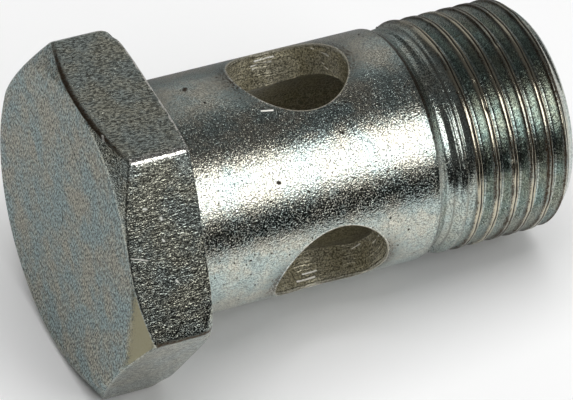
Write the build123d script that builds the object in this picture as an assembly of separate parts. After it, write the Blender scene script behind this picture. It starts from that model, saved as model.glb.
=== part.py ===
from build123d import *
import math
import os

# Banjo bolt: a hollow screw for a pipe eye. One steel piece, turned and drilled,
# with a rolled thread. All sizes are in millimetres.
#
# The bolt is drawn upright, with its axis on Z, the bearing face of the head at
# Z = 0, the head below it and the thread above it. X points out of the flat that
# the bolt lies on. At the end it is laid down the way it comes to rest.

# Head
across_flats = 24.0
head_height = 6.0
hex_edge_round = 0.5
face_circle = 23.8          # what the outer chamfer leaves of the head's end face
face_chamfer_angle = 30.0
seat_circle = 24.6          # what the corner trim leaves of the bearing face
seat_chamfer_angle = 10.0

# Plain shank, which the pipe eye goes round
shank_diameter = 18.0
shank_length = 20.5         # bearing face to the shoulder
under_head_flare = 0.5
shoulder_angle = 30.0

# Threaded end
length_under_head = 32.3
neck_diameter = 17.0        # the blank that the thread is rolled on
neck_length = 1.6           # shoulder to the start of the first groove
thread_diameter = 18.0
thread_pitch = 1.5
flank_angle = 30.0          # each flank, from square to the axis
crest_share = 1 / 8         # crest width, as a share of the pitch
thread_depth_share = 0.6134  # depth of the thread, as a share of the pitch
crest_rise_length = 1.3     # over which the first crests reach their full height
groove_overcut = 0.1        # how far the groove's section stands proud of the crests
end_diameter = 16.0
end_chamfer_angle = 45.0

# Passages
bore_diameter = 13.0
bore_floor = 6.5            # bearing face to the end of the full bore
drill_point_angle = 118.0
bore_mouth_chamfer = 0.4
cross_hole_diameter = 9.0
cross_hole_place = 12.2     # bearing face to the middle of the cross holes
cross_hole_count = 3
cross_hole_turn = 48.0      # the first one, from the flat that the bolt lies on

# Worked out from the sizes above
half_flats = across_flats / 2
shank_radius = shank_diameter / 2
neck_radius = neck_diameter / 2
thread_radius = thread_diameter / 2
thread_depth = thread_depth_share * thread_pitch
root_radius = thread_radius - thread_depth
end_radius = end_diameter / 2
end_chamfer_length = (thread_radius - end_radius) / math.tan(math.radians(end_chamfer_angle))
shoulder_length = (shank_radius - neck_radius) / math.tan(math.radians(shoulder_angle))
groove_start = shank_length + neck_length
bore_radius = bore_diameter / 2
cross_hole_radius = cross_hole_diameter / 2
NODE = "banjo_bolt"


def turned(*outline):
    """Solid of revolution about Z from (radius, height) points that start and end on the axis."""
    return revolve(Plane.XZ * make_face(Polyline(*outline, close=True)), Axis.Z)


def head_envelope():
    """Double cone that trims the hexagon's corners at the end face and at the seat."""
    reach = across_flats
    outer_drop = (reach - face_circle / 2) * math.tan(math.radians(face_chamfer_angle))
    seat_drop = (reach - seat_circle / 2) * math.tan(math.radians(seat_chamfer_angle))
    outer_cone = turned(
        (0, -head_height),
        (face_circle / 2, -head_height),
        (reach, outer_drop - head_height),
        (reach, reach),
        (0, reach),
    )
    seat_cone = turned((0, -reach), (reach, -reach), (reach, -seat_drop), (seat_circle / 2, 0), (0, 0))
    return outer_cone & seat_cone


def make_head():
    """Hexagon head with rounded upright edges, chamfered at both ends."""
    hexagon = RegularPolygon(half_flats, 6, major_radius=False, rotation=30)
    hexagon = fillet(hexagon.vertices(), hex_edge_round)
    bar = Pos(0, 0, -head_height) * extrude(hexagon, head_height)
    return bar & head_envelope()


def make_blank():
    """Turned outside of the shank, neck and threaded end, before the thread is rolled."""
    full_thread = groove_start + crest_rise_length
    return turned(
        (0, 0),
        (shank_radius + under_head_flare, 0),
        (shank_radius, under_head_flare),
        (shank_radius, shank_length),
        (neck_radius, shank_length + shoulder_length),
        (neck_radius, groove_start),
        (thread_radius, full_thread),
        (thread_radius, length_under_head - end_chamfer_length),
        (end_radius, length_under_head),
        (0, length_under_head),
    )


def groove_section():
    """Section of the thread groove, drawn beyond the crest so that it cuts clear."""
    clear = groove_overcut
    flank_slope = math.tan(math.radians(flank_angle))
    mouth = thread_pitch * (1 - crest_share) / 2
    root = mouth - thread_depth * flank_slope
    outer = mouth + clear * flank_slope
    return Plane.XZ * make_face(
        Polyline(
            (root_radius, -root),
            (thread_radius + clear, -outer),
            (thread_radius + clear, outer),
            (root_radius, root),
            close=True,
        )
    )


def make_groove():
    """Thread groove: a full-depth helix, and one turn in which the groove leaves the surface."""
    full_start = groove_start + thread_pitch
    full_height = length_under_head + thread_pitch - full_start
    run_out_angle = math.degrees(math.atan2(thread_depth, thread_pitch))
    section = groove_section()
    full = sweep(section, path=Helix(thread_pitch, full_height, root_radius), is_frenet=True)
    fading = sweep(
        section,
        path=Helix(thread_pitch, thread_pitch, root_radius, cone_angle=run_out_angle),
        is_frenet=True,
    )
    return [Pos(0, 0, full_start) * full, Pos(0, 0, full_start) * Rot(180, 0, 0) * fading]


def make_bore():
    """Blind bore from the thread end, with its drill point and mouth chamfer."""
    point = bore_radius / math.tan(math.radians(drill_point_angle / 2))
    mouth_radius = bore_radius + bore_mouth_chamfer
    return turned(
        (0, bore_floor - point),
        (bore_radius, bore_floor),
        (bore_radius, length_under_head - bore_mouth_chamfer),
        (mouth_radius, length_under_head),
        (mouth_radius, length_under_head + bore_mouth_chamfer),
        (0, length_under_head + bore_mouth_chamfer),
    )


def make_cross_holes():
    """Radial holes from the bore out through the shank, evenly spaced round the axis."""
    reach = shank_diameter
    drill = Rot(0, 90, 0) * Cylinder(
        cross_hole_radius, reach, align=(Align.CENTER, Align.CENTER, Align.MIN)
    )
    step = 360 / cross_hole_count
    return [
        Pos(0, 0, cross_hole_place) * Rot(0, 0, cross_hole_turn + i * step) * drill
        for i in range(cross_hole_count)
    ]


def make_bolt():
    """The whole bolt, upright: turned and drilled first, then the thread."""
    bolt = make_head() + make_blank() - make_bore()
    for hole in make_cross_holes():
        bolt -= hole
    for groove in make_groove():
        bolt -= groove
    return bolt


def lie_down(bolt):
    """Lay the bolt on one flat, tipped until the last full crest touches the ground too."""
    drop = half_flats - thread_radius
    run = length_under_head - end_chamfer_length
    tip = math.degrees(math.atan2(drop, run))
    return Rot(0, 90 + tip, 0) * bolt


os.makedirs("parts", exist_ok=True)
export_step(lie_down(make_bolt()), f"parts/{NODE}.step")
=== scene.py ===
# %% [markdown]
# # A banjo bolt, lying on one flat
# A banjo bolt is a hollow screw. Liquid comes down a blind bore from the thread end
# and leaves through three cross holes into the pipe eye that the shank holds. The
# solid model gives its size and place. This file gives its looks, so it starts by
# loading that model as a frame that never moves.

# %% Load the frame
import math

import bmesh
import bpy
import numpy as np
from mathutils import Matrix, Vector


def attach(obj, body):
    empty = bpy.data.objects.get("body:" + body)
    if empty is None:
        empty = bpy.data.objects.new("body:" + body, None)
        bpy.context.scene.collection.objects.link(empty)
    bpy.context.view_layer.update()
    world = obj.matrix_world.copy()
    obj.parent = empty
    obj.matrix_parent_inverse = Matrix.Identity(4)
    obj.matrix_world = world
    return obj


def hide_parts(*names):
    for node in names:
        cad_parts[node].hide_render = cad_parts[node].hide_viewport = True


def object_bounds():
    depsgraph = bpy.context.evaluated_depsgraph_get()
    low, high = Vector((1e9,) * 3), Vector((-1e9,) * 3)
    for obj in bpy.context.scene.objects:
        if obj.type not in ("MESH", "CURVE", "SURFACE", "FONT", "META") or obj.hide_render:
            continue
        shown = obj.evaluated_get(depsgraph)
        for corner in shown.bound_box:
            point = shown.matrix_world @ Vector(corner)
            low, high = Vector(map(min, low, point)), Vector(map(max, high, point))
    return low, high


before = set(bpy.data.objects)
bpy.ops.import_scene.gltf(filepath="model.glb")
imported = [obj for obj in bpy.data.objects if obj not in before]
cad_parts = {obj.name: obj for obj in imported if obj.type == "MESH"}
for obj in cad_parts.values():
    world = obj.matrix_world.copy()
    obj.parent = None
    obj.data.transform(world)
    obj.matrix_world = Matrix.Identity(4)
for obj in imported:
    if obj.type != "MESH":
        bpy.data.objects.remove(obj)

MM = 0.001
cad_box = [list(corner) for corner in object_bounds()]
floor_height = cad_box[0][2]
print("solid model, lowest and highest corner:", cad_box)

# %% [markdown]
# ## The bolt's sizes
# These are the sizes of the solid model, in millimetres, measured from the bearing
# face of the head: the head is below it and the thread above it. The skin built
# here replaces the solid, so it has to follow the same sizes. Two of them differ: the
# trim at the bearing face is flatter, because the softened edge there takes away the
# rest, and the thread's crests are wider, because rolling leaves two lips on each.

# %% Sizes
ACROSS_FLATS = 24.0
HEAD_HEIGHT = 6.0
HEX_EDGE_ROUND = 0.5
FACE_CIRCLE = 23.8
FACE_CHAMFER_ANGLE = math.radians(30)
SEAT_CIRCLE = 24.6
SEAT_CHAMFER_ANGLE = math.radians(7)
SHANK_RADIUS = 9.0
SHANK_LENGTH = 20.5
UNDER_HEAD_ROUND = 0.5
SHOULDER_ANGLE = math.radians(30)
LENGTH = 32.3
NECK_RADIUS = 8.5
NECK_LENGTH = 1.6
THREAD_RADIUS = 9.0
PITCH = 1.5
FLANK_ANGLE = math.radians(30)
THREAD_DEPTH = 0.6134 * PITCH
CREST_RISE = 1.3
END_RADIUS = 8.0
END_CHAMFER = 1.0
BORE_RADIUS = 6.5
BORE_FLOOR = 6.5
DRILL_HALF_ANGLE = math.radians(59)
MOUTH_CHAMFER = 0.4
HOLE_RADIUS = 4.5
HOLE_PLACE = 12.2
HOLE_COUNT = 3
HOLE_TURN = math.radians(48)

GROOVE_START = SHANK_LENGTH + NECK_LENGTH
THREAD_LOW = GROOVE_START - 0.45
FULL_START = GROOVE_START + PITCH
SHOULDER_LENGTH = (SHANK_RADIUS - NECK_RADIUS) / math.tan(SHOULDER_ANGLE)
TIP = math.atan2(ACROSS_FLATS / 2 - THREAD_RADIUS, LENGTH - END_CHAMFER)
LAID = math.pi / 2 + TIP
print("tipped by", round(math.degrees(TIP), 2), "degrees, so that the thread rests too")

# %% [markdown]
# ## One skin out of patches
# The bolt is one piece of steel, so its skin is one closed mesh. It is made of
# patches, each a grid worked out from two parameters. All patches round the axis
# share the same 240 columns, so that neighbours meet point for point and can be
# welded. 240 divides by six flats and by three holes.

# %% The grid that all patches share
COLUMNS = 240
SECTOR = COLUMNS // HOLE_COUNT
columns = np.arange(COLUMNS + 1) * (2 * math.pi / COLUMNS)

patches = []


def lay_down(radius, angle, height):
    """Cylinder coordinates about the bolt's axis, in mm, turned about Y by 90 degrees
    and the tip, so that the axis runs along +X, and given in metres."""
    x = radius * np.cos(angle)
    y = radius * np.sin(angle)
    along = x * math.cos(LAID) + height * math.sin(LAID)
    up = height * math.cos(LAID) - x * math.sin(LAID)
    return np.stack(np.broadcast_arrays(along, y, up), axis=-1) * MM


def add_patch(name, radius, angle, height, finish, wear_and_highlight=0.0, grime=0.0):
    """Keeps a grid of points, its finish, how far each point is tinted bright and how far
    it is covered in grime, from nought to one. The bright tint is wear, and on one edge of
    the head a painted highlight."""
    grid = lay_down(radius, angle, height)
    rows, cols = grid.shape[:2]
    wear_and_highlight, grime = (np.broadcast_to(value, (rows, cols)) for value in (wear_and_highlight, grime))
    patches.append((grid, finish, wear_and_highlight, grime))
    print(name, rows, "rows by", cols, "columns")


def shares(rows):
    """Upright column of evenly spaced numbers from nought to one, for that many rows."""
    return np.linspace(0, 1, rows + 1)[:, None]


BEND_ROWS = 4
BEND_SUPPORT = 0.6


def rounded(corners, cuts):
    """Meridian through the corners: each one is cut back by its own length along both
    legs and bridged by a parabola, with one more point a little further out on each leg."""
    corners = np.array(corners, float)
    line = [corners[:1]]
    w = shares(BEND_ROWS)
    for i, cut in enumerate(cuts, start=1):
        before = corners[i - 1] - corners[i]
        after = corners[i + 1] - corners[i]
        back = before / np.linalg.norm(before) * cut
        on = after / np.linalg.norm(after) * cut
        start, end = corners[i] + back, corners[i] + on
        lead_in = corners[i] + back * (1 + BEND_SUPPORT)
        lead_out = corners[i] + on * (1 + BEND_SUPPORT)
        bridge = (1 - w) ** 2 * start + 2 * w * (1 - w) * corners[i] + w**2 * end
        line += [lead_in[None], bridge, lead_out[None]]
    line.append(corners[-1:])
    return np.concatenate(line)


# %% [markdown]
# ## The hexagon head
# The head is cut from hexagon bar: six flats, a 30 degree chamfer that trims the
# corners at the end face, and a lighter trim at the bearing face. A flat and a cone
# meet in the curved line that every nut and bolt shows, and it comes out by itself
# when the height of each surface is a function of the distance from the axis.

# %% Outline of the hexagon
FLATS = 6
FLAT_TURN = math.pi / 3
HALF_FLAT = math.pi / 6
EDGE_CENTRE = (ACROSS_FLATS / 2 - HEX_EDGE_ROUND) / math.cos(HALF_FLAT)
EDGE_ARC = math.atan2(HEX_EDGE_ROUND / 2, EDGE_CENTRE + HEX_EDGE_ROUND * math.cos(HALF_FLAT))
EDGE_COLUMNS = 5
TIE_BREAK = 0.001


def from_corner_line(angle):
    """How far an angle is from the nearest corner of the hexagon."""
    return np.abs((angle % FLAT_TURN) - HALF_FLAT)


def hex_radius(angle):
    """Distance from the axis to the hexagon: half the width across flats over the cosine
    from the middle of the flat, with the corner replaced by an arc that touches both flats."""
    flat = (angle + HALF_FLAT) % FLAT_TURN - HALF_FLAT
    side = ACROSS_FLATS / 2 / np.cos(flat)
    corner = from_corner_line(angle)
    inside = np.clip(HEX_EDGE_ROUND**2 - (EDGE_CENTRE * np.sin(corner)) ** 2, 0, None)
    arc = EDGE_CENTRE * np.cos(corner) + np.sqrt(inside)
    return np.where(corner < EDGE_ARC, arc, side)


def hex_columns():
    """The shared columns, drawn together at the six corners: inside one flat, a column
    goes from -1 to 1, and the last few at each end share the rounded edge. A column on a
    corner counts with the flat after it, which the tie break decides."""
    per_flat = COLUMNS // FLATS
    number = np.arange(COLUMNS + 1)
    place = ((number + per_flat // 2) % per_flat) / (per_flat / 2) - 1
    from_corner = (1 - np.abs(place)) * per_flat / 2
    edge = EDGE_ARC * from_corner / (EDGE_COLUMNS - 1)
    reach = HALF_FLAT - EDGE_ARC
    flat_share = (from_corner - (EDGE_COLUMNS - 1)) / (per_flat / 2 - (EDGE_COLUMNS - 1))
    flat = EDGE_ARC + reach * (0.25 * flat_share**2 + 0.75 * flat_share)
    away = np.where(from_corner < EDGE_COLUMNS, edge, flat)
    flat_middle = np.round((number - TIE_BREAK * np.sign(place)) / per_flat) * math.pi / 3
    return flat_middle + np.sign(place) * (HALF_FLAT - away)


hexed = hex_columns()
outline = hex_radius(hexed)
print("hexagon reach", round(outline.min(), 3), "to", round(outline.max(), 3))

# %% Heights of the bearing face and the end face
FACE_EDGE = 0.12
SEAT_EDGE = 0.15
SOFTEN = 0.08


def soft_ramp(x, soft):
    """x where it is positive, else nought, with the bend rounded over the length soft."""
    return (x + np.sqrt(x**2 + soft**2)) / 2


def seat_height(radius):
    """Bearing face: level inside the seat circle, falling away by the trim angle outside it."""
    return -soft_ramp(radius - SEAT_CIRCLE / 2, SOFTEN) * math.tan(SEAT_CHAMFER_ANGLE)


def face_height(radius):
    """End face: level inside the face circle, rising by the chamfer angle outside it."""
    return soft_ramp(radius - FACE_CIRCLE / 2, SOFTEN) * math.tan(FACE_CHAMFER_ANGLE) - HEAD_HEIGHT


# %% Where the head is worn and dirty, and where its highlight is painted
# Angle about the axis and reach to both sides, in degrees: 0 points at the table, 90 to
# the far side, 180 straight up and 270 to the near side.
TOP_FLAT = (180, 26)
# The rounded edge at the near top corner gets a painted highlight.
NEAR_TOP_CORNER = (210, 20)
NEAR_CORNER = (270, 25)
LOW_NEAR = (290, 40)
LOW_FAR = (70, 40)
CORNER_WEAR = (0.25, 0.3, 0.6, 0.1, 0.5, 0.7)
WEAR_REACH = 1.0
WEAR_TURN = math.radians(4)


def apart_from(angle, middle):
    """Turn from the middle to an angle, the short way round, between -pi and pi."""
    return (angle - middle + math.pi) % (2 * math.pi) - math.pi


def around(degrees, reach, angle=hexed):
    """One near a direction and nought away from it, for the head's columns or other angles."""
    apart = apart_from(angle, math.radians(degrees))
    return np.exp(-((apart / math.radians(reach)) ** 4))


def corner_wear(depth):
    """How far the corners are beaten in: a bell curve round each corner, with its own
    strength, and a quarter round over the depth below the bearing face."""
    at_corner = 0.0
    for i, strength in enumerate(CORNER_WEAR):
        apart = apart_from(hexed, (i + 0.5) * math.pi / 3)
        at_corner = at_corner + strength * np.exp(-((apart / WEAR_TURN) ** 2))
    share = np.clip(1 - depth / WEAR_REACH, 0, 1)
    return at_corner * (1 - np.sqrt(1 - share**2))


# %% Head patches, from the bearing face round to the end face
SEAT_ROWS = 12
EDGE_ROWS = 4
FLAT_ROWS = 16
FLAT_GATHER = 0.12
CHAMFER_ROWS = 8
FACE_ROWS = 16
FACE_RIM = 0.06
THIN_LINE, BROAD_LINE = 0.13, 0.7
CHAMFER_FINISHES = ((0, 125, "end face"), (125, 160, "flats"), (160, COLUMNS, "end face"))


def head_patches():
    """Bearing face, its edge, the six flats, the chamfer edge, the chamfer and the end
    face, as rows between the under-head round and the middle of the end face. The seat's
    edge is worn bright on top. The rounded edge at the near top corner carries a painted
    highlight: it is tinted bright like the worn edges. Dirt lies in a thin and a broad line
    along the chamfer's edge, most of it on the top flat, and on the low corners. The chamfer
    over the near top corner has the finish of the flats."""
    share = shares(SEAT_ROWS)
    inner = SHANK_RADIUS + UNDER_HEAD_ROUND
    angle = columns + (hexed - columns) * share
    worn = outline - corner_wear(0)
    seat = inner + (worn - SEAT_EDGE - inner) * (0.5 * share + 0.5 * (1 - (1 - share) ** 2))
    add_patch("bearing face", seat, angle, seat_height(seat), "turned")

    w = shares(EDGE_ROWS)
    edge = worn - SEAT_EDGE * (1 - w) ** 2
    drop = seat_height(worn - SEAT_EDGE * (1 - w)) - SEAT_EDGE * w**2
    on_top = around(*TOP_FLAT)
    add_patch("seat edge", edge, hexed, drop, "flats", wear_and_highlight=0.15 + 0.75 * on_top)

    top = seat_height(worn) - SEAT_EDGE
    bottom = face_height(outline) + FACE_EDGE
    share = shares(FLAT_ROWS)
    share = share - FLAT_GATHER * np.sin(2 * math.pi * share)
    height = top + (bottom - top) * share
    side = outline - corner_wear(top - height)
    edge_line = np.exp(-((from_corner_line(hexed) / EDGE_ARC) ** 2))
    # A painted highlight along the rounded edge at the near top corner: tinted bright like a worn
    # edge, and smoother.
    bright = 0.8 * edge_line * around(*NEAR_TOP_CORNER)
    rise = height - bottom
    dirty_line = np.exp(-rise / THIN_LINE) + 0.45 * np.exp(-rise / BROAD_LINE)
    dirty_edges = edge_line * (around(*LOW_NEAR) + around(*LOW_FAR))
    dirty = dirty_line * (0.35 + 0.65 * on_top) + dirty_edges
    add_patch("flats", side, hexed, height, "flats", wear_and_highlight=bright, grime=dirty)

    edge = outline - FACE_EDGE * w**2
    drop = face_height(outline - FACE_EDGE * w) + FACE_EDGE * (1 - w) ** 2
    add_patch("chamfer edge", edge, hexed, drop, "flats", grime=0.35 + 0.65 * on_top)

    share = shares(CHAMFER_ROWS)
    inner = FACE_CIRCLE / 2 - FACE_RIM
    chamfer = outline - FACE_EDGE + (inner - outline + FACE_EDGE) * share
    level = face_height(chamfer)
    dirty = 0.5 * on_top * (1 - share) ** 3 + 0.55 * around(*NEAR_CORNER)
    for first, last, finish in CHAMFER_FINISHES:
        part = (slice(None), slice(first, last + 1))
        add_patch("chamfer", chamfer[part], hexed[part[1]], level[part], finish, grime=dirty[part])

    share = shares(FACE_ROWS)
    face = inner * (1 - share)
    level = -HEAD_HEIGHT + (face_height(inner) + HEAD_HEIGHT) * (1 - share)
    add_patch("end face", face, hexed, level, "end face")


head_patches()

# %% [markdown]
# ## The shank and its cross holes
# Each hole is drilled radially and breaks out in a saddle-shaped rim. Cutting it with
# a boolean would leave long thin faces that shade badly, so the wall round each hole
# is laid as spokes that run from the rim to a box border a third of the way round.

# %% Spokes round a cross hole
SIDE_STEPS = 56
OUTER_RIM = 0.1
INNER_RIM = 0.08
RIM_ROWS = 4
HOLE_ROWS = 8
STAIN = 0.85
HOLE_STAIN_REACH = 1.8
HEAD_STAIN_REACH = 2.5
HEAD_STAIN_SIDE = (150, 40)


def hole_middle(i):
    """Angle of one cross hole about the bolt's axis."""
    return HOLE_TURN + i * 2 * math.pi / HOLE_COUNT


def border(low, high):
    """Angle from the hole's axis and height, once round the box border: along the bottom,
    up the far side, back along the top and down the near side."""
    half = math.pi / HOLE_COUNT
    across = np.linspace(-half, half, SECTOR + 1)[:-1]
    up = np.linspace(low, high, SIDE_STEPS + 1)[:-1]
    turn = np.concatenate([across, np.full(SIDE_STEPS, half), -across, np.full(SIDE_STEPS, -half)])
    height = np.concatenate([np.full(SECTOR, low), up, np.full(SECTOR, high), low + high - up])
    return np.append(turn, turn[0]), np.append(height, height[0])


def on_wall(hole_radius, spoke, wall_radius):
    """Where a circle about the hole's axis meets the wall: sideways it is hole_radius times
    the cosine of the spoke, so the turn is the arcsine of that over the wall's radius."""
    turn = np.arcsin(hole_radius * np.cos(spoke) / wall_radius)
    return turn, HOLE_PLACE + hole_radius * np.sin(spoke)


def spokes_of(low, high, wall_radius):
    """Direction of each border point as seen from the middle of the hole."""
    turn, height = border(low, high)
    return np.arctan2(height - HOLE_PLACE, turn * wall_radius)


def wall_patch(name, wall_radius, low, high, spoke, rim, rows, finish):
    """Wall round each hole: the spoke's start on the rim and its end on the border, joined
    by a straight line in angle and height, with rows closer together at the rim. The stain
    fades away from the hole's upper and lower edge, and from the head."""
    turn_out, height_out = border(low, high)
    turn_in, height_in = on_wall(HOLE_RADIUS + rim, spoke, wall_radius)
    share = shares(rows)
    share = 0.25 * share + 0.75 * share**1.7
    turn = turn_in + (turn_out - turn_in) * share
    height = height_in + (height_out - height_in) * share
    away = np.hypot(turn * wall_radius, height - HOLE_PLACE) - HOLE_RADIUS
    at_hole = STAIN * np.exp(-away / HOLE_STAIN_REACH) * np.sin(spoke) ** 2
    at_head = STAIN * np.exp(-(height - low) / HEAD_STAIN_REACH)
    for i in range(HOLE_COUNT):
        angle = hole_middle(i) + turn
        dirty = at_hole + at_head * around(*HEAD_STAIN_SIDE, angle)
        add_patch(f"{name} {i}", wall_radius, angle, height, finish, grime=dirty)


def hole_patch(spoke):
    """Wall of each hole: its outer rim, the drilled wall and its inner rim, as distances
    from the bolt's axis at a fixed sideways place, with both rims bridged by parabolas."""
    w = shares(RIM_ROWS)
    side = np.cos(spoke)
    rise = np.sin(spoke)

    def level(wall_radius, hole_radius):
        return np.sqrt(wall_radius**2 - (hole_radius * side) ** 2)

    out = level(SHANK_RADIUS, HOLE_RADIUS)
    inn = level(BORE_RADIUS, HOLE_RADIUS)
    reach_out = (1 - w) ** 2 * level(SHANK_RADIUS, HOLE_RADIUS + OUTER_RIM)
    reach_out = reach_out + 2 * w * (1 - w) * out + w**2 * (out - OUTER_RIM)
    wide_out = HOLE_RADIUS + OUTER_RIM * (1 - w) ** 2
    share = shares(HOLE_ROWS)[1:-1]
    reach_wall = (out - OUTER_RIM) + (inn + INNER_RIM - out + OUTER_RIM) * share
    reach_in = (1 - w) ** 2 * (inn + INNER_RIM) + 2 * w * (1 - w) * inn
    reach_in = reach_in + w**2 * level(BORE_RADIUS, HOLE_RADIUS + INNER_RIM)
    wide_in = HOLE_RADIUS + INNER_RIM * w**2
    reach = np.concatenate([reach_out, reach_wall, reach_in])
    wide = np.concatenate([wide_out, HOLE_RADIUS + 0 * share, wide_in])
    wear = np.concatenate([0.6 * np.ones_like(w), 0 * share, 0 * w])
    sideways = wide * side
    height = HOLE_PLACE + wide * rise
    radius = np.hypot(sideways, reach)
    for i in range(HOLE_COUNT):
        turn = hole_middle(i) + np.arctan2(sideways, reach)
        add_patch(f"hole wall {i}", radius, turn, height, "drilled", wear_and_highlight=wear)


# %% The walls round the holes
# Each wall stops short of the next edge, so that the patch there has a plain strip to
# start from.
SHANK_LOW = UNDER_HEAD_ROUND
SHANK_HIGH = SHANK_LENGTH - 0.3
BORE_LOW = BORE_FLOOR + 0.2
BORE_HIGH = HOLE_PLACE + HOLE_RADIUS + 1.3
SHANK_ROWS = 20
BORE_ROWS = 5

spoke = spokes_of(SHANK_LOW, SHANK_HIGH, SHANK_RADIUS)
wall_patch("shank", SHANK_RADIUS, SHANK_LOW, SHANK_HIGH, spoke, OUTER_RIM, SHANK_ROWS, "shank")
wall_patch("bore wall", BORE_RADIUS, BORE_LOW, BORE_HIGH, spoke, INNER_RIM, BORE_ROWS, "bore")
hole_patch(spoke)

# %% Under the head and at the shoulder
UNDER_HEAD_ROWS = 6
UNDER_HEAD_STAIN_SIDE = (155, 45)
SHOULDER_CUTS = (0.12, 0.15)
MUD_PLACE = 0.12
MUD_HALF = 0.2
MUD_SIDE = (180, 45)

arc = np.linspace(0, math.pi / 2, UNDER_HEAD_ROWS + 1)[:, None]
flare = SHANK_RADIUS + UNDER_HEAD_ROUND * (1 - np.sin(arc))
climb = UNDER_HEAD_ROUND * (1 - np.cos(arc))
stained = 0.9 * around(*UNDER_HEAD_STAIN_SIDE, columns)
add_patch("under-head round", flare, columns, climb, "shank", grime=stained)
shoulder = rounded(
    [
        (SHANK_RADIUS, SHANK_HIGH),
        (SHANK_RADIUS, SHANK_LENGTH),
        (NECK_RADIUS, SHANK_LENGTH + SHOULDER_LENGTH),
        (NECK_RADIUS, THREAD_LOW),
    ],
    SHOULDER_CUTS,
)
past_edge = shoulder[:, 1:] - SHANK_LENGTH
muddy = np.exp(-(((past_edge - MUD_PLACE) / MUD_HALF) ** 2))
muddy = muddy * (0.55 + 0.45 * around(*MUD_SIDE, columns))
add_patch("shoulder", shoulder[:, :1], columns, shoulder[:, 1:], "thread", grime=muddy)

# %% The bore, its mouth and the ring round it
POINT_CUTS = (0.08,)
MOUTH_CUTS = (0.06, 0.1)

bore_end = BORE_FLOOR - BORE_RADIUS / math.tan(DRILL_HALF_ANGLE)
point_corners = [(0, bore_end), (BORE_RADIUS, BORE_FLOOR), (BORE_RADIUS, BORE_LOW)]
drill_point = rounded(point_corners, POINT_CUTS)
add_patch("drill point", drill_point[:, :1], columns, drill_point[:, 1:], "bore")
mouth_radius = BORE_RADIUS + MOUTH_CHAMFER
mouth = rounded(
    [
        (BORE_RADIUS, BORE_HIGH),
        (BORE_RADIUS, LENGTH - MOUTH_CHAMFER),
        (mouth_radius, LENGTH),
        (END_RADIUS, LENGTH),
    ],
    MOUTH_CUTS,
)
first_bend = BEND_ROWS + 3
plain, end_ring = mouth[: first_bend + 1], mouth[first_bend:]
add_patch("bore to the mouth", plain[:, :1], columns, plain[:, 1:], "bore")
add_patch("mouth and end", end_ring[:, :1], columns, end_ring[:, 1:], "turned", grime=0.25)

# %% [markdown]
# ## The rolled thread
# The thread is rolled, not cut: dies press a groove into the neck and the steel they
# push aside rises into the crests. Two lips grow towards each other and leave a fine
# seam along the top of each crest. The rows of this patch follow the helix, because
# rows square to the axis would cut every crest into steps.

# %% Sizes of the thread's surface, and the blank it is rolled on
FADE_TURNS = 0.85
SEAM_TURNS = 2.2
RING_DEPTH = 0.02
RING_END = FULL_START + 0.2
RING_FADE = 0.6
RIDGE_HEIGHT = 0.24
RIDGE_HALF = 0.3
HAIR_HEIGHT = 0.1
HAIR_HALF = 0.1
ROOT_ROUND = 0.32
RINGS_PER_MM = 2.7
CREST_HALF = 0.2
LIP_HEIGHT = 0.1
LIP_HALF = 0.15
SEAM_HALF = 0.06
SEAM_PLACE = 0.06
SEAM_GROWTH = 1.2
BEND = 0.03
END_SOFTEN = 0.12
RUN_IN = 0.3


def run_in(height):
    """Rises from nought to one over the first bit of the thread."""
    return np.clip((height - THREAD_LOW) / RUN_IN, 0, 1)


def blank_radius(height):
    """The crests' envelope: the neck with its fine rolled rings, the rise to the crest and
    the end chamfer."""
    rise = np.clip((height - GROOVE_START) / CREST_RISE, 0, 1)
    rise = rise * rise * (3 - 2 * rise)
    body = NECK_RADIUS + (THREAD_RADIUS - NECK_RADIUS) * rise
    fall = soft_ramp(height - (LENGTH - END_CHAMFER), END_SOFTEN)
    end = soft_ramp(np.array(END_CHAMFER), END_SOFTEN)
    ringed = run_in(height) * np.clip((RING_END - height) / RING_FADE, 0, 1)
    rings = np.abs(np.sin(math.pi * RINGS_PER_MM * height)) ** 3 * ringed * RING_DEPTH
    return body + rings - fall / end * (THREAD_RADIUS - END_RADIUS)


DRAWN_TURNS = 12
FIRST_DRAWN_TURN = -4
RAGGED_GAIN = 1.6


def ragged(turn, seed):
    """Uneven run along the crest, about -1 to 1: a random value at every second column,
    joined by straight lines and blurred over its neighbours, then raised to make up for
    the blur."""
    draw = np.random.default_rng(seed).uniform(-1, 1, DRAWN_TURNS * COLUMNS)
    draw = 0.5 * draw + 0.25 * np.roll(draw, 1) + 0.25 * np.roll(draw, -1)
    place = (turn - FIRST_DRAWN_TURN) * COLUMNS / 2
    return np.interp(place, np.arange(len(draw)), draw) * RAGGED_GAIN


# %% The groove, its crests and their lips
VALLEY_PLACE, VALLEY_HALF = 0.5, 0.16
DIRT_PLACE, DIRT_HALF = -0.27, 0.13
WANDER_SEED, WEAR_SEED, WIDE_WEAR_SEED = 5, 3, 7


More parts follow.
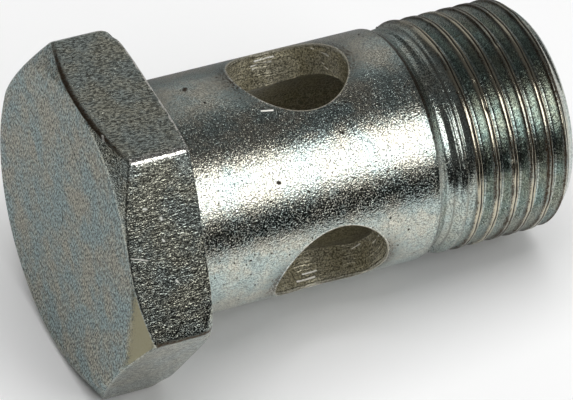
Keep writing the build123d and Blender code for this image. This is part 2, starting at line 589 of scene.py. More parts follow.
def thread_shape(turn, height):
    """Depth of the groove from the distance to its middle line: flat at the root, then
    rising along the flanks until it meets the blank. On top, each crest is two lips with a
    seam between them; the headward lip is the wider one. Where the groove fades into the
    neck, each crest is a low ridge and each root a hair line. Gives the radius, how far
    the lips are worn bright and how much grime sits in the seam and beside the crest."""
    climbed = (height - FULL_START) / PITCH
    phase = np.clip(climbed - turn, -0.5, 0.5)
    away = np.abs(phase) * PITCH
    fade = np.clip(1 + climbed / FADE_TURNS, 0, 1)
    root_half = PITCH / 2 - CREST_HALF - THREAD_DEPTH * math.tan(FLANK_ANGLE)
    root = THREAD_RADIUS - THREAD_DEPTH * fade
    across_crest = (PITCH / 2 - away) * -np.sign(phase)
    young = np.clip(-climbed / 0.6, 0, 1) * run_in(height)
    ridge = RIDGE_HEIGHT * np.exp(-((across_crest / RIDGE_HALF) ** 2))
    ridge = ridge + HAIR_HEIGHT * np.exp(-((away / HAIR_HALF) ** 2))
    blank = blank_radius(height) + ridge * young
    wall = root + soft_ramp((away - root_half) / math.tan(FLANK_ANGLE), ROOT_ROUND)
    depth = np.clip((blank - root) / THREAD_DEPTH, 0, 1)
    crest_turn = np.where(phase > 0, turn, turn - 1)
    wander = 0.04 * ragged(crest_turn, WANDER_SEED)
    worn = 0.5 + 0.35 * ragged(crest_turn, WEAR_SEED)
    worn = np.clip(worn + 0.6 * ragged(crest_turn / 8, WIDE_WEAR_SEED), 0, 1)
    seam_share = np.clip((climbed + SEAM_TURNS) / SEAM_GROWTH, 0, 1)
    seam = np.exp(-(((across_crest - SEAM_PLACE - wander) / SEAM_HALF) ** 2)) * seam_share
    top = blank - LIP_HEIGHT * seam * (0.6 + 0.4 * worn)
    radius = top - soft_ramp(top - wall, BEND)
    on_crest = np.clip(1 - (top - radius) / LIP_HALF, 0, 1) * depth
    valley = np.exp(-(((np.abs(across_crest) - VALLEY_PLACE) / VALLEY_HALF) ** 2))
    beside = np.exp(-(((across_crest - DIRT_PLACE) / DIRT_HALF) ** 2))
    dirty = seam * on_crest + 0.6 * young * valley
    dirty = dirty + (0.75 - 0.2 * worn) * fade * beside
    dirty = dirty + 0.45 * on_crest * (1 - worn)
    return radius, on_crest * (1 - seam) * (0.3 + 0.7 * worn), dirty


# %% Nicks on the crests: angle, height, depth and size
NICKS = (
    (187.0, 28.26, 0.10, 0.22),
    (182.8, 23.76, 0.08, 0.20),
    (217.9, 25.44, 0.14, 0.22),
    (205.6, 25.06, 0.10, 0.18),
    (248.3, 26.64, 0.12, 0.25),
    (96.0, 27.10, 0.10, 0.25),
    (20.0, 29.60, 0.12, 0.20),
    (310.0, 25.30, 0.10, 0.22),
)


def nicked(turn, height):
    """Depth of the knocks on the crests: one bell curve for each nick, given by its angle
    in degrees, its height, its depth and its size."""
    depth = 0.0
    for degrees, level, deep, size in NICKS:
        apart = (turn * 360 - degrees + 180) % 360 - 180
        away = np.hypot(np.radians(apart) * THREAD_RADIUS, height - level)
        depth = depth + deep * np.exp(-((away / size) ** 2))
    return depth


# %% The strip that winds round the axis
HALF_PITCH_ROWS = 12


def thread_rows():
    """Rows over one pitch, from the middle of one crest to the next: close together on
    the crest, further apart down the flanks."""
    share = np.linspace(0, 1, HALF_PITCH_ROWS + 1)
    half = (0.45 * share + 0.55 * share**2) * PITCH / 2
    return np.concatenate([half, PITCH - half[-2::-1]])


def thread_patch():
    """One strip wound round the axis. It climbs one pitch a turn and its top edge is the
    bottom edge a turn later, so the turns weld to each other. Both ends are held at the
    neck and at the end face."""
    across = thread_rows()[:, None]
    first = math.floor(((THREAD_LOW - FULL_START) / PITCH - 0.5) * COLUMNS)
    last = math.ceil(((LENGTH - FULL_START) / PITCH + 0.5) * COLUMNS)
    turn = np.arange(first, last + 1) / COLUMNS
    height = FULL_START + PITCH * (turn - 0.5) + across
    height = np.clip(height, THREAD_LOW, LENGTH)
    radius, wear_and_highlight, grime = thread_shape(turn, height)
    radius = radius - nicked(turn, height)
    radius = np.where(height <= THREAD_LOW, NECK_RADIUS, radius)
    radius = np.where(height >= LENGTH, END_RADIUS, radius)
    add_patch("thread", radius, turn * 2 * math.pi, height, "thread", wear_and_highlight, grime)


thread_patch()

# %% [markdown]
# ## Weld the patches
# Patches that meet have the same points along their border, so merging doubles closes
# the skin. A closed skin has no border edges and its volume is that of the steel.

# %% One closed mesh
FINISHES = ["flats", "end face", "turned", "shank", "drilled", "bore", "thread"]
WELD_REACH = 0.002 * MM


def weld():
    """All patch points and quads in one mesh, doubles merged, normals outward, shaded
    smooth, with the wear-and-highlight and grime values of each point."""
    points, quads, finishes, wear_and_highlight_values, grimes = [], [], [], [], []
    start = 0
    for grid, finish, wear_and_highlight, grime in patches:
        rows, cols = grid.shape[:2]
        index = start + np.arange(rows * cols).reshape(rows, cols)
        quad = np.stack([index[:-1, :-1], index[1:, :-1], index[1:, 1:], index[:-1, 1:]], axis=-1)
        points.append(grid.reshape(-1, 3))
        quads.append(quad.reshape(-1, 4))
        finishes.append(np.full(len(quads[-1]), FINISHES.index(finish)))
        wear_and_highlight_values.append(wear_and_highlight.reshape(-1))
        grimes.append(grime.reshape(-1))
        start += rows * cols
    points, quads = np.concatenate(points), np.concatenate(quads)
    mesh = bpy.data.meshes.new("banjo_bolt_skin")
    mesh.from_pydata(points.tolist(), [], quads.tolist())
    for name, values in (("wear_and_highlight", wear_and_highlight_values), ("grime", grimes)):
        layer = mesh.attributes.new(name, "FLOAT", "POINT")
        layer.data.foreach_set("value", np.concatenate(values))
    mesh.polygons.foreach_set("material_index", np.concatenate(finishes))
    skin = bmesh.new()
    skin.from_mesh(mesh)
    bmesh.ops.remove_doubles(skin, verts=skin.verts, dist=WELD_REACH)
    bmesh.ops.recalc_face_normals(skin, faces=skin.faces)
    loose = sum(1 for edge in skin.edges if len(edge.link_faces) != 2)
    volume = skin.calc_volume(signed=True) / MM**3
    skin.to_mesh(mesh)
    skin.free()
    mesh.shade_smooth()
    triangles = sum(len(face.vertices) - 2 for face in mesh.polygons)
    print(triangles, "triangles,", loose, "open edges,", round(volume, 1), "cubic mm")
    return mesh


bolt = bpy.data.objects.new("banjo_bolt_skin", weld())
bpy.context.scene.collection.objects.link(bolt)
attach(bolt, "root")
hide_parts("banjo_bolt")

# %% [markdown]
# ## Plated steel
# The bolt is zinc plated after machining. The plating is a thin bright metal skin, so
# what changes from place to place is less the colour than how the surface scatters
# light: grain from the plating bath, turning marks, pits and dull brown stains. Each of
# these effects is one node group, and every finish places them with its own values.

# %% Small helpers for node trees
def put(tree, kind, **settings):
    """Adds a node and sets its properties."""
    node = tree.nodes.new(kind)
    for key, value in settings.items():
        setattr(node, key, value)
    return node


def feed(tree, node, **inputs):
    """Fills a node's inputs by name (spaces written as _): a link for a socket, else a value."""
    for key, value in inputs.items():
        socket = node.inputs[key.replace("_", " ")]
        if isinstance(value, bpy.types.NodeSocket):
            tree.links.new(value, socket)
        else:
            socket.default_value = value
    return node


def sums(tree, operation, *values):
    """One Math node; returns its output."""
    node = put(tree, "ShaderNodeMath", operation=operation)
    for socket, value in zip(node.inputs, values):
        if isinstance(value, bpy.types.NodeSocket):
            tree.links.new(value, socket)
        else:
            socket.default_value = value
    return node.outputs[0]


def steps(tree, value, low, high):
    """Nought below low, one above high, and a smooth rise between."""
    node = put(tree, "ShaderNodeMapRange", interpolation_type="SMOOTHSTEP")
    feed(tree, node, Value=value, From_Min=low, From_Max=high)
    return node.outputs["Result"]


def noise(tree, place, scale, detail=2.0, roughness=0.5, dimensions="3D"):
    """Noise at a place; for one dimension the place is a number."""
    node = put(tree, "ShaderNodeTexNoise", noise_dimensions=dimensions)
    feed(tree, node, Scale=scale, Detail=detail, Roughness=roughness)
    tree.links.new(place, node.inputs["W" if dimensions == "1D" else "Vector"])
    return node.outputs["Fac"]


def tint(tree, mask, below, above):
    """Mixes two colours by a mask."""
    node = put(tree, "ShaderNodeMix", data_type="RGBA")
    tree.links.new(mask, node.inputs["Factor"])
    for socket, colour in ((node.inputs[6], below), (node.inputs[7], above)):
        if isinstance(colour, bpy.types.NodeSocket):
            tree.links.new(colour, socket)
        else:
            socket.default_value = (*colour, 1)
    return node.outputs[2]


def shaded(tree, colour, grey):
    """A colour multiplied by a grey value."""
    node = put(tree, "ShaderNodeMix", data_type="RGBA", blend_type="MULTIPLY")
    node.inputs["Factor"].default_value = 1.0
    tree.links.new(colour, node.inputs[6])
    tree.links.new(grey, node.inputs[7])
    return node.outputs[2]


def group(name, inputs, outputs):
    """Empty node group with named number or vector inputs and number outputs."""
    tree = bpy.data.node_groups.new(name, "ShaderNodeTree")
    for socket, kind, value in inputs:
        made = tree.interface.new_socket(socket, in_out="INPUT", socket_type=kind)
        if value is not None:
            made.default_value = value
    for socket in outputs:
        tree.interface.new_socket(socket, in_out="OUTPUT", socket_type="NodeSocketFloat")
    entry = tree.nodes.new("NodeGroupInput")
    result = tree.nodes.new("NodeGroupOutput")
    return tree, entry.outputs, result.inputs


def place(tree, effect, **inputs):
    """Puts a node group into a material and feeds it."""
    node = put(tree, "ShaderNodeGroup", node_tree=effect)
    return feed(tree, node, **inputs).outputs


FLOAT, VECTOR = "NodeSocketFloat", "NodeSocketVector"


# %% Plating grain
STROKE_SCALE = 0.4
CRYSTAL_SCALE = 1.2
FLECK_SCALE = 0.9


def plating_grain():
    """Bumps of the plating: a fine grain, coarser strokes that can be drawn out along one
    axis, and sparse steep crystals that catch the lamp. Shade is a fine light and dark fleck."""
    tree, given, out = group(
        "plating_grain",
        [
            ("Place", VECTOR, None),
            ("Stretch", VECTOR, (1, 1, 1)),
            ("Grains per mm", FLOAT, 8.0),
            ("Peel", FLOAT, 0.5),
            ("Crystals", FLOAT, 1.0),
        ],
        ["Height", "Shade"],
    )
    drawn = put(tree, "ShaderNodeVectorMath", operation="MULTIPLY")
    tree.links.new(given["Place"], drawn.inputs[0])
    tree.links.new(given["Stretch"], drawn.inputs[1])
    scale = given["Grains per mm"]
    fine = noise(tree, given["Place"], scale, 1.0)
    strokes = noise(tree, drawn.outputs[0], sums(tree, "MULTIPLY", scale, STROKE_SCALE), 2.0)
    crystal = noise(tree, given["Place"], sums(tree, "MULTIPLY", scale, CRYSTAL_SCALE), 0.0)
    crystal = steps(tree, crystal, 0.6, 0.85)
    height = sums(tree, "MULTIPLY_ADD", strokes, given["Peel"], fine)
    height = sums(tree, "MULTIPLY_ADD", crystal, given["Crystals"], height)
    tree.links.new(height, out["Height"])
    fleck = noise(tree, drawn.outputs[0], sums(tree, "MULTIPLY", scale, FLECK_SCALE), 2.0, 0.7)
    tree.links.new(steps(tree, fleck, 0.4, 0.6), out["Shade"])
    return tree


# %% Turning marks
PATCHES_PER_MM = 0.35
WANDER = 0.5


def turning_marks():
    """Rings left by a cutting tool: noise along one number, which is the height for a
    turned shank and the distance from the axis for a faced end or a drilled wall. The
    rings wander a little and fade out in patches."""
    tree, given, out = group(
        "turning_marks",
        [("Place", VECTOR, None), ("Lines per mm", FLOAT, 5.0), ("By radius", FLOAT, 0.0)],
        ["Height"],
    )
    axes = put(tree, "ShaderNodeSeparateXYZ")
    tree.links.new(given["Place"], axes.inputs[0])
    squares = sums(tree, "MULTIPLY", axes.outputs["X"], axes.outputs["X"])
    squares = sums(tree, "MULTIPLY_ADD", axes.outputs["Y"], axes.outputs["Y"], squares)
    radius = sums(tree, "SQRT", squares)
    pick = put(tree, "ShaderNodeMix", data_type="FLOAT")
    feed(tree, pick, Factor=given["By radius"], A=axes.outputs["Z"], B=radius)
    patchy = noise(tree, given["Place"], PATCHES_PER_MM, 2.0)
    wander = sums(tree, "MULTIPLY_ADD", patchy, WANDER, pick.outputs["Result"])
    rings = noise(tree, wander, given["Lines per mm"], 3.0, 0.6, "1D")
    strength = steps(tree, patchy, 0.3, 0.65)
    tree.links.new(sums(tree, "MULTIPLY", rings, strength), out["Height"])
    return tree


# %% Pits
SMALLEST_PIT = 0.04
PIT_SPREAD = 0.2
PIT_RAGGED = 0.25


def pits():
    """Small round pits: cells of a Voronoi pattern whose centre is nearer than the pit's
    radius, with a ragged edge. The cell's own colour gives two numbers: one sets the size
    and the other picks which cells have a pit at all."""
    tree, given, out = group(
        "pits",
        [("Place", VECTOR, None), ("Pits per mm", FLOAT, 1.6), ("Share", FLOAT, 0.3)],
        ["Mask"],
    )
    cells = put(tree, "ShaderNodeTexVoronoi")
    feed(tree, cells, Vector=given["Place"], Scale=given["Pits per mm"])
    hue = put(tree, "ShaderNodeSeparateColor")
    tree.links.new(cells.outputs["Color"], hue.inputs[0])
    size = sums(tree, "MULTIPLY_ADD", hue.outputs["Red"], PIT_SPREAD, SMALLEST_PIT)
    rough_edge = sums(tree, "SUBTRACT", noise(tree, given["Place"], 9.0), 0.5)
    rough_edge = sums(tree, "MULTIPLY", rough_edge, PIT_RAGGED)
    deep = sums(tree, "ADD", sums(tree, "SUBTRACT", size, cells.outputs["Distance"]), rough_edge)
    inside = steps(tree, deep, 0.0, 0.06)
    chosen = sums(tree, "LESS_THAN", hue.outputs["Green"], given["Share"])
    tree.links.new(sums(tree, "MULTIPLY", inside, chosen), out["Mask"])
    return tree


# %% Stains
GRITS_PER_MM = 5.0
GRIT_SHARE = 0.3
STAIN_EDGE = 0.2


def stains():
    """Cloudy patches with broken edges: a coarse noise with a gritty one added. The mask
    is where it passes the cover, and the cloud is a softer mix over the whole surface."""
    tree, given, out = group(
        "stains",
        [("Place", VECTOR, None), ("Patches per mm", FLOAT, 0.35), ("Cover", FLOAT, 0.3)],
        ["Mask", "Cloud"],
    )
    cloud = noise(tree, given["Place"], given["Patches per mm"], 4.0, 0.6)
    grit = noise(tree, given["Place"], GRITS_PER_MM, 2.0, 0.6)
    mixed = sums(tree, "MULTIPLY_ADD", sums(tree, "SUBTRACT", grit, 0.5), GRIT_SHARE, cloud)
    edge = sums(tree, "SUBTRACT", 1.0, given["Cover"])
    high = sums(tree, "ADD", edge, STAIN_EDGE)
    tree.links.new(steps(tree, mixed, edge, high), out["Mask"])
    tree.links.new(steps(tree, mixed, 0.35, 0.65), out["Cloud"])
    return tree


# %% Single marks
KNOCK_RAGS_PER_MM = 7.0
KNOCK_INNER = 0.9
KNOCK_OUTER = 1.4


def knock():
    """One mark at its own place: the distance to a short line from Start to End, less than
    Width, with an edge broken up by noise. A line of no length gives a round pit."""
    tree, given, out = group(
        "knock",
        [
            ("Place", VECTOR, None),
            ("Start", VECTOR, (0, 0, 0)),
            ("End", VECTOR, (0, 0, 1)),
            ("Width", FLOAT, 0.1),
        ],
        ["Mask"],
    )

    def vectors(operation, first, second):
        node = put(tree, "ShaderNodeVectorMath", operation=operation)
        tree.links.new(first, node.inputs[0])
        tree.links.new(second, node.inputs[3 if operation == "SCALE" else 1])
        return node.outputs["Value" if operation in ("DOT_PRODUCT", "DISTANCE") else "Vector"]

    line = vectors("SUBTRACT", given["End"], given["Start"])
    reach = vectors("SUBTRACT", given["Place"], given["Start"])
    square = sums(tree, "MAXIMUM", vectors("DOT_PRODUCT", line, line), 0.0001)
    share = sums(tree, "DIVIDE", vectors("DOT_PRODUCT", reach, line), square)
    share = sums(tree, "MINIMUM", sums(tree, "MAXIMUM", share, 0.0), 1.0)
    away = vectors("DISTANCE", reach, vectors("SCALE", line, share))
    broken = noise(tree, given["Place"], KNOCK_RAGS_PER_MM)
    broken = sums(tree, "MULTIPLY_ADD", broken, given["Width"], away)
    inner = sums(tree, "MULTIPLY", given["Width"], KNOCK_INNER)
    outer = sums(tree, "MULTIPLY", given["Width"], KNOCK_OUTER)
    tree.links.new(sums(tree, "SUBTRACT", 1.0, steps(tree, broken, inner, outer)), out["Mask"])
    return tree


GRAIN, MARKS, PITS, STAINS, KNOCK = plating_grain(), turning_marks(), pits(), stains(), knock()

# %% One plated finish
PIT_BROWN = (0.045, 0.038, 0.03)
GRIME_BROWN = (0.07, 0.05, 0.032)
# Bare steel where the plating is worn through; as a matt film it also paints the white glints.
BARE_STEEL_AND_GLINT = (0.9, 0.88, 0.82)
PALE_OXIDE = (0.62, 0.63, 0.58)
TAN_FILM = (0.345, 0.32, 0.195)
STAIN_DULLS = 0.12
PIT_DULLS = 0.3
GRIME_DULLS = 0.3
KNOCK_DULLS = 0.5
PIT_DEPTH = 0.5
RUBBING_SMOOTHS = 0.8
WEAR_AND_HIGHLIGHT_EDGE = (0.3, 1.0)
GRIME_EDGE = (0.7, 1.2)
RELIEF = 0.05 * MM


def plated(
    name,
    steel,
    cool,
    stain,
    roughness,
    metallic=1.0,
    stretch=(1, 1, 1),
    grain=8.0,
    peel=0.5,
    crystals=1.0,
    bump=0.3,
    shade=0.3,
    lines=5.0,
    by_radius=0.0,
    marks=0.2,
    cover=0.3,
    pit_share=0.15,
    pit_scale=1.6,
    lips=BARE_STEEL_AND_GLINT,
    knocks=(),
):
    """Plated steel: a steel colour that drifts to a cooler one, stains, pits, single knocks,
    worn bright edges and grimy edges, and bumps from grain, tool marks and pits. The bright
    tint of worn edges also paints one highlight on the head. A knock of no depth is a matt
    film, which stays pale in every light; the white glints in the hole walls and the shine
    of one scratch on the shank are painted that way."""
    material = bpy.data.materials.new(name)
    material.use_nodes = True
    tree = material.node_tree
    shader = tree.nodes["Principled BSDF"]
    where = put(tree, "ShaderNodeTexCoord").outputs["Object"]
    upright = put(tree, "ShaderNodeMapping")
    feed(tree, upright, Vector=where)
    upright.inputs["Rotation"].default_value = (0, -LAID, 0)
    upright.inputs["Scale"].default_value = (1 / MM, 1 / MM, 1 / MM)
    spot = upright.outputs["Vector"]
    grains = place(
        tree, GRAIN, Place=spot, Stretch=stretch, Grains_per_mm=grain, Peel=peel, Crystals=crystals
    )
    rings = place(tree, MARKS, Place=spot, Lines_per_mm=lines, By_radius=by_radius)
    holes = place(tree, PITS, Place=spot, Share=pit_share, Pits_per_mm=pit_scale)
    dirt = place(tree, STAINS, Place=spot, Cover=cover)
    wear_and_highlight = put(tree, "ShaderNodeAttribute", attribute_name="wear_and_highlight").outputs["Fac"]
    grime = put(tree, "ShaderNodeAttribute", attribute_name="grime").outputs["Fac"]

    colour = tint(tree, dirt["Cloud"], steel, cool)
    colour = tint(tree, dirt["Mask"], colour, stain)
    fleck = sums(tree, "MULTIPLY_ADD", grains["Shade"], 2 * shade, 1 - shade)
    colour = shaded(tree, colour, fleck)
    colour = tint(tree, holes["Mask"], colour, PIT_BROWN)
    # Worn edges and crests are tinted towards the lips colour, and so is the painted highlight on
    # the head's near top corner.
    worn = steps(tree, sums(tree, "MULTIPLY_ADD", grains["Shade"], 0.4, wear_and_highlight), *WEAR_AND_HIGHLIGHT_EDGE)
    colour = tint(tree, worn, colour, lips)
    broken = steps(tree, sums(tree, "MULTIPLY_ADD", grains["Shade"], 0.5, grime), *GRIME_EDGE)
    colour = tint(tree, broken, colour, GRIME_BROWN)
    dull = sums(tree, "MULTIPLY_ADD", dirt["Mask"], STAIN_DULLS, roughness)
    dull = sums(tree, "MULTIPLY_ADD", holes["Mask"], PIT_DULLS, dull)
    dull = sums(tree, "MULTIPLY_ADD", broken, GRIME_DULLS, dull)
    polished = sums(tree, "MULTIPLY_ADD", wear_and_highlight, -RUBBING_SMOOTHS * bump, bump)
    metal = metallic
    height = sums(tree, "MULTIPLY", grains["Height"], polished)
    height = sums(tree, "MULTIPLY_ADD", rings["Height"], marks, height)
    height = sums(tree, "MULTIPLY_ADD", holes["Mask"], -PIT_DEPTH, height)
    for start, end, width, paint, deep in knocks:
        mask = place(tree, KNOCK, Place=spot, Start=start, End=end, Width=width)["Mask"]
        colour = tint(tree, mask, colour, paint)
        dull = sums(tree, "MULTIPLY_ADD", mask, KNOCK_DULLS * deep, dull)
        height = sums(tree, "MULTIPLY_ADD", mask, -deep, height)
        if deep == 0:
            metal = sums(tree, "MULTIPLY_ADD", mask, -metallic, metal)
    relief = put(tree, "ShaderNodeBump")
    feed(tree, relief, Height=height, Distance=RELIEF, Strength=1.0)
    normal = relief.outputs["Normal"]
    feed(tree, shader, Base_Color=colour, Roughness=dull, Metallic=metal, Normal=normal)
    return material


# %% Where the single marks are
# Start, end, width, colour and depth of each, in millimetres on the upright bolt.
SHANK_KNOCKS = (
    ((-5.99, -6.71, 7.61), (-5.95, -6.75, 7.75), 0.17, PIT_BROWN, 0.6),
    ((-8.78, 1.96, 3.85), (-8.72, 2.2, 4.0), 0.25, GRIME_BROWN, 0.3),
    ((-8.1, -3.9, 13.95), (-7.85, -4.4, 14.41), 0.05, PIT_BROWN, 0.6),
    ((-7.85, -4.4, 14.41), (-7.34, -5.21, 14.48), 0.05, PIT_BROWN, 0.6),
    # A scratch with its shine painted: a white matt film, pale in every light.
    ((-8.78, -1.96, 8.25), (-8.74, -2.13, 9.11), 0.1, BARE_STEEL_AND_GLINT, 0.0),
)
FLAT_KNOCKS = (
    ((-5.99, -10.4, -5.75), (-5.62, -10.61, -4.55), 0.06, BARE_STEEL_AND_GLINT, 0.5),
    ((-11.9, -4.3, -5.7), (-12.0, -3.7, -5.5), 0.12, BARE_STEEL_AND_GLINT, 0.5),
    ((-8.9, -8.7, -4.3), (-8.85, -8.75, -4.1), 0.13, PALE_OXIDE, 0.0),
    ((-8.1, -9.2, -3.1), (-8.0, -9.3, -3.05), 0.16, PALE_OXIDE, 0.0),
    ((-6.7, -10.0, -3.2), (-6.6, -10.1, -3.1), 0.12, PALE_OXIDE, 0.0),
    ((-3.9, -11.6, -2.6), (-3.8, -11.7, -2.5), 0.12, PALE_OXIDE, 0.0),
)
FACE_KNOCKS = (
    ((-8.4, 0.9, -6), (-6.9, -1.9, -6), 0.05, PIT_BROWN, 0.6),
    ((-7.6, 5.5, -6), (-7.0, 5.3, -6), 0.07, PIT_BROWN, 0.6),
    ((-0.9, 0.5, -6), (-0.2, 0.3, -6), 0.08, PIT_BROWN, 0.6),
    ((-3.1, -12.7, -5.4), (3.1, -12.7, -5.4), 1.7, TAN_FILM, 0.0),
)
# Drill marks in the hole walls, painted as white glints: start, end and width of each, drawn as
# white matt films.
DRILL_MARKS_AS_GLINTS = (
    ((-6.08, 5.87, 11.7), (-6.2, 5.8, 13.2), 0.12),
    ((-5.75, 5.75, 11.4), (-5.8, 5.75, 13.0), 0.1),
    ((-5.45, 5.7, 11.5), (-5.55, 5.66, 12.7), 0.08),
    ((-7.37, 4.5, 15.6), (-7.47, 3.24, 16.4), 0.12),
    ((-6.8, 4.4, 15.55), (-6.56, 3.4, 16.2), 0.1),
    ((-6.4, 3.9, 15.85), (-6.34, 3.0, 16.4), 0.08),
    ((6.38, -5.45, 11.2), (6.48, -5.35, 12.7), 0.12),
    ((6.33, -4.92, 11.9), (6.27, -4.96, 13.0), 0.1),
    ((3.08, -6.57, 16.61), (1.77, -7.12, 16.67), 0.08),
    ((4.64, -5.2, 15.71), (4.01, -5.49, 16.17), 0.08),
)
PAINTED_DRILL_GLINTS = [(*mark, BARE_STEEL_AND_GLINT, 0.0) for mark in DRILL_MARKS_AS_GLINTS]

# %% The finishes
finishes = {
    "flats": plated(
        "plated_flats", (0.355, 0.355, 0.29), (0.29, 0.33, 0.31), (0.3, 0.24, 0.15), 0.15,
        stretch=(1, 1, 0.4), grain=9.0, peel=1.0, crystals=2.2, bump=0.42, shade=0.6, marks=0.0,
        cover=0.38, pit_share=0.3, pit_scale=2.6, knocks=FLAT_KNOCKS,
    ),
    "end face": plated(
        "plated_end_face", (0.27, 0.265, 0.218), (0.2, 0.262, 0.262), (0.26, 0.21, 0.14), 0.5,
        stretch=(0.4, 1, 1), grain=10.0, bump=0.5, shade=0.75, lines=3.0, by_radius=1.0, marks=0.5,
        cover=0.35, pit_share=0.4, pit_scale=3.0, knocks=FACE_KNOCKS,
    ),
    "turned": plated(
        "plated_seat", (0.4, 0.4, 0.36), (0.36, 0.39, 0.4), (0.22, 0.18, 0.13), 0.3, by_radius=1.0,
    ),
    "shank": plated(
        "plated_shank", (0.54, 0.53, 0.45), (0.41, 0.49, 0.47), (0.35, 0.31, 0.23), 0.11,
        grain=9.0, peel=0.7, crystals=1.5, bump=0.42, shade=0.38, cover=0.3, marks=0.05,
        pit_share=0.35, pit_scale=2.0, knocks=SHANK_KNOCKS,
    ),
    "drilled": plated(
        "plated_hole_wall", (0.42, 0.385, 0.26), (0.4, 0.375, 0.28), (0.22, 0.18, 0.11), 0.2,
        metallic=0.6, shade=0.6, lines=4.0, by_radius=1.0, marks=4.0, crystals=0.8, bump=0.5,
        lips=(0.5, 0.48, 0.4), knocks=PAINTED_DRILL_GLINTS,
    ),
    "bore": plated(
        "plated_bore", (0.24, 0.215, 0.13), (0.22, 0.2, 0.14), (0.14, 0.115, 0.07), 0.4,
        metallic=0.3, shade=0.5, lines=3.0, marks=0.8,
    ),
    "thread": plated(
        "plated_thread", (0.42, 0.44, 0.385), (0.36, 0.43, 0.41), (0.28, 0.23, 0.14), 0.15,
        grain=9.0, peel=0.4, bump=0.24, crystals=0.8, shade=0.5, marks=0.25, lines=6.0, cover=0.35,
        lips=(0.56, 0.52, 0.4),
    ),
}
for finish in FINISHES:
    bolt.data.materials.append(finishes[finish])

# %% [markdown]
# ## Floor and light
# A small metal part takes its look from what it mirrors. One big soft lamp in front
# gives the bright band along the shank. A second one over the table lights the floor
# and the bolt from above, but isn't mirrored. Two matt cards beside the bolt and a dim
# room keep the other reflections dark, and the white floor lights it from below.

# %% Floor
FLOOR_REACH = 1.5
FLOOR_WHITE = 0.95


def matt_sheet(name, corners, paint_name, grey):
    """Four-cornered sheet in a matt paint of one grey."""
    mesh = bpy.data.meshes.new(name)
    mesh.from_pydata(corners, [], [(0, 1, 2, 3)])
    sheet = bpy.data.objects.new(name, mesh)
    bpy.context.scene.collection.objects.link(sheet)
    paint = bpy.data.materials.new(paint_name)
    paint.use_nodes = True
    matt = paint.node_tree.nodes["Principled BSDF"]
    matt.inputs["Base Color"].default_value = (grey, grey, grey, 1)
    matt.inputs["Roughness"].default_value = 1.0
    matt.inputs["Specular IOR Level"].default_value = 0.0
    mesh.materials.append(paint)
    return sheet


floor_corners = [
    (x * FLOOR_REACH, y * FLOOR_REACH, floor_height)
    for x, y in ((-1, -1), (1, -1), (1, 1), (-1, 1))
]
matt_sheet("floor", floor_corners, "white_table", FLOOR_WHITE)

# %% Lamps
middle = (Vector(cad_box[0]) + Vector(cad_box[1])) / 2


def softbox(name, direction, distance, size, radiance):
    """Square area lamp at a distance from the bolt, in a direction, facing it. A matt square
    of radiance L gives out pi times its area times L watts."""
    lamp = bpy.data.lights.new(name, "AREA")
    lamp.size = size
    lamp.energy = math.pi * size**2 * radiance
    holder = bpy.data.objects.new(name, lamp)
    toward = Vector(direction).normalized()
    holder.location = middle + toward * distance
    holder.rotation_euler = (-toward).to_track_quat("-Z", "Y").to_euler()
    bpy.context.scene.collection.objects.link(holder)
    return holder


softbox("key_softbox", (0.452, -0.671, 0.588), 0.6, 0.36, 3.4)
table_lamp = softbox("table_lamp", (0, 0.05, 1), 0.8, 0.8, 2.9)
table_lamp.visible_glossy = False

# %% Cards that the bolt mirrors
FLAG_HEIGHT = 0.02
FLAG_END = 0.11


def make_flag(name, left, place, grey):
    """Matt card that stands on the table beside the bolt, seen only in its reflections."""
    low, high, right = floor_height, floor_height + FLAG_HEIGHT, FLAG_END
    corners = [(left, place, low), (right, place, low), (right, place, high), (left, place, high)]
    card = matt_sheet(name, corners, name, grey)
    for ray in ("camera", "diffuse", "shadow", "transmission"):
        setattr(card, f"visible_{ray}", False)


make_flag("front_flag", -0.07, -0.045, 0.02)
make_flag("back_flag", 0.002, 0.022, 0.4)

# %% The dim room
DIM_ROOM = 0.1
BACK_WALL = 0.42
BACK_TURN = math.radians(25)
BACK_TOWARD = (math.sin(BACK_TURN), math.cos(BACK_TURN), 0.3)
BACK_FADE = (0.72, 0.95)


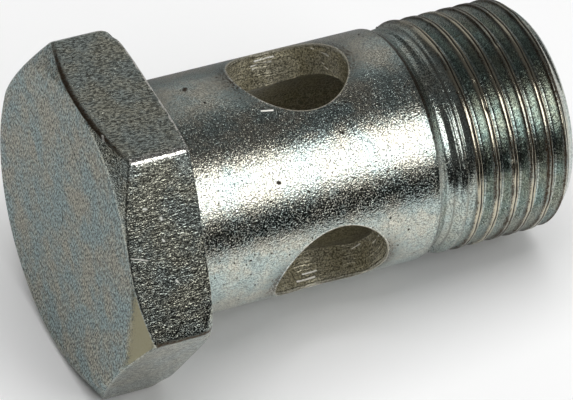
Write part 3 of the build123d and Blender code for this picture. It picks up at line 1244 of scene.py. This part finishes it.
def dim_room():
    """Dark room with one paler wall behind the bolt: the room's colour is mixed by how far
    a direction points at that wall."""
    world = bpy.data.worlds.new("dim_room")
    world.use_nodes = True
    tree = world.node_tree
    toward = put(tree, "ShaderNodeVectorMath", operation="DOT_PRODUCT")
    tree.links.new(put(tree, "ShaderNodeTexCoord").outputs["Generated"], toward.inputs[0])
    toward.inputs[1].default_value = Vector(BACK_TOWARD).normalized()
    glow = steps(tree, toward.outputs["Value"], *BACK_FADE)
    colour = tint(tree, glow, (DIM_ROOM,) * 3, (BACK_WALL,) * 3)
    tree.links.new(colour, tree.nodes["Background"].inputs["Color"])
    bpy.context.scene.world = world


dim_room()
bpy.context.scene.view_settings.view_transform = "Standard"

# %% [markdown]
# ## Camera
# The camera looks down on the bolt at 45 degrees, past the head. It is a third of a
# metre away with a long lens, so that the head looks hardly larger than the thread.

# %% Camera
CAMERA_AZIMUTH = math.radians(26.41)
CAMERA_ELEVATION = math.radians(45.24)
CAMERA_ROLL = math.radians(1.105)
CAMERA_PLACE = Vector((-95.0515, -215.9809, 238.7614)) * MM
FOCAL_PIXELS = 4538.15
FRAME_WIDTH = 573

camera_data = bpy.data.cameras.new("camera")
camera_data.sensor_fit = "HORIZONTAL"
camera_data.sensor_width = 36.0
camera_data.lens = camera_data.sensor_width * FOCAL_PIXELS / FRAME_WIDTH
camera_data.clip_start = 0.01
camera = bpy.data.objects.new("camera", camera_data)
ahead = Vector(
    (
        math.cos(CAMERA_ELEVATION) * math.sin(CAMERA_AZIMUTH),
        math.cos(CAMERA_ELEVATION) * math.cos(CAMERA_AZIMUTH),
        -math.sin(CAMERA_ELEVATION),
    )
)
level_right = ahead.cross(Vector((0, 0, 1))).normalized()
level_up = level_right.cross(ahead)
right = level_right * math.cos(CAMERA_ROLL) + level_up * math.sin(CAMERA_ROLL)
up = right.cross(ahead)
turned = Matrix((right, up, -ahead)).transposed().to_4x4()
camera.matrix_world = Matrix.Translation(CAMERA_PLACE) @ turned
bpy.context.scene.collection.objects.link(camera)
bpy.context.scene.camera = camera
print("camera lens", round(camera_data.lens, 1), "mm")
